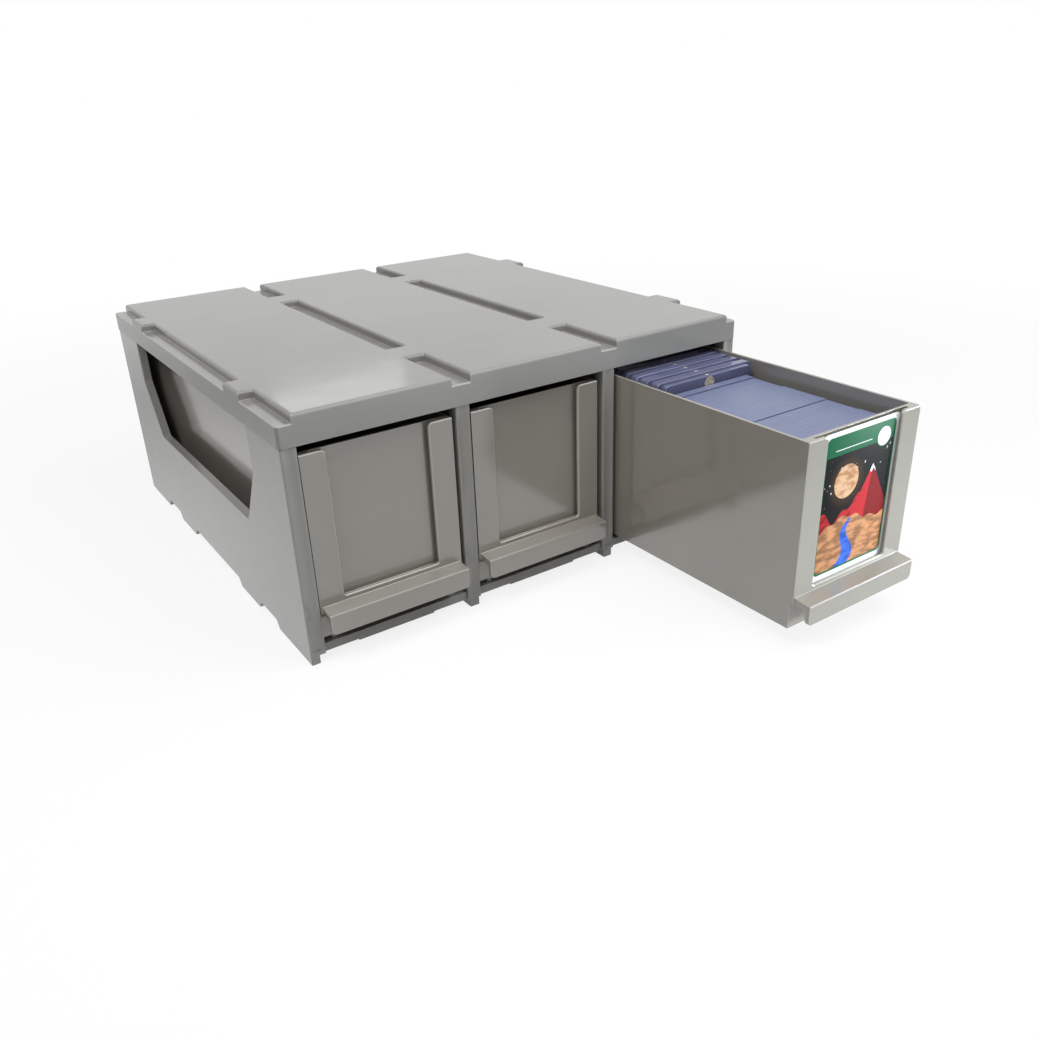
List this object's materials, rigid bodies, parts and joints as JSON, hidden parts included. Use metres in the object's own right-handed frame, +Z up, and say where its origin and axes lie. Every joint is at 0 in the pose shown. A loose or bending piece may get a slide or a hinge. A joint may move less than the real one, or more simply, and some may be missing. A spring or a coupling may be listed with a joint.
{
  "type": "trading card drawer box",
  "caption": "Wide low stackable cabinet with drawers side by side for trading cards, card frames and pull handles; an open drawer holds sleeved cards.",
  "frame": {"origin": "on the surface the feet stand on, below the middle of the bounding box with the right drawer open as stored", "axes": "+X to the right seen from the front, +Y from the drawer fronts to the back, +Z up"},
  "size_m": [0.326, 0.4918, 0.149],
  "materials": {
    "cabinet_plastic": "glossy moulded, warm grey",
    "drawer_plastic": "glossy moulded, warm grey",
    "sleeve_plastic": "hazy translucent, blue-violet",
    "holder_plastic": "clear tinted, glossy",
    "magnet": "plated",
    "card_stock": "satin printed card"
  },
  "bodies": {
    "cabinet": {"lid": "cabinet_plastic", "base_tray": "cabinet_plastic", "left_side": "cabinet_plastic", "right_side": "cabinet_plastic", "divider_left": "cabinet_plastic", "divider_right": "cabinet_plastic", "back_panel": "cabinet_plastic"},
    "drawer_1": {"drawer_1_tub": "drawer_plastic", "drawer_1_front": "drawer_plastic"},
    "drawer_2": {"drawer_2_tub": "drawer_plastic", "drawer_2_front": "drawer_plastic"},
    "drawer_3": {"drawer_3_tub": "drawer_plastic", "drawer_3_front": "drawer_plastic", "label_card": "card_stock", "sleeve_stack_1": "sleeve_plastic", "sleeve_stack_2": "sleeve_plastic", "sleeve_stack_3": "sleeve_plastic", "sleeve_stack_4": "sleeve_plastic", "sleeve_stack_5": "sleeve_plastic", "holder_1_back": "holder_plastic", "holder_1_cover": "holder_plastic", "holder_1_magnet": "magnet", "holder_2_back": "holder_plastic", "holder_2_cover": "holder_plastic", "holder_2_magnet": "magnet", "holder_3_back": "holder_plastic", "holder_3_cover": "holder_plastic", "holder_3_magnet": "magnet", "holder_4_back": "holder_plastic", "holder_4_cover": "holder_plastic", "holder_4_magnet": "magnet", "holder_5_back": "holder_plastic", "holder_5_cover": "holder_plastic", "holder_5_magnet": "magnet"}
  },
  "joints": [
    {"name": "drawer_1_slide", "type": "slide", "parent": "cabinet", "child": "drawer_1", "axis": [0, -1, 0], "range_m": [0, 0.24]},
    {"name": "drawer_2_slide", "type": "slide", "parent": "cabinet", "child": "drawer_2", "axis": [0, -1, 0], "range_m": [0, 0.24]},
    {"name": "drawer_3_slide", "type": "slide", "parent": "cabinet", "child": "drawer_3", "axis": [0, -1, 0], "range_m": [-0.1526, 0.0874]}
  ]
}
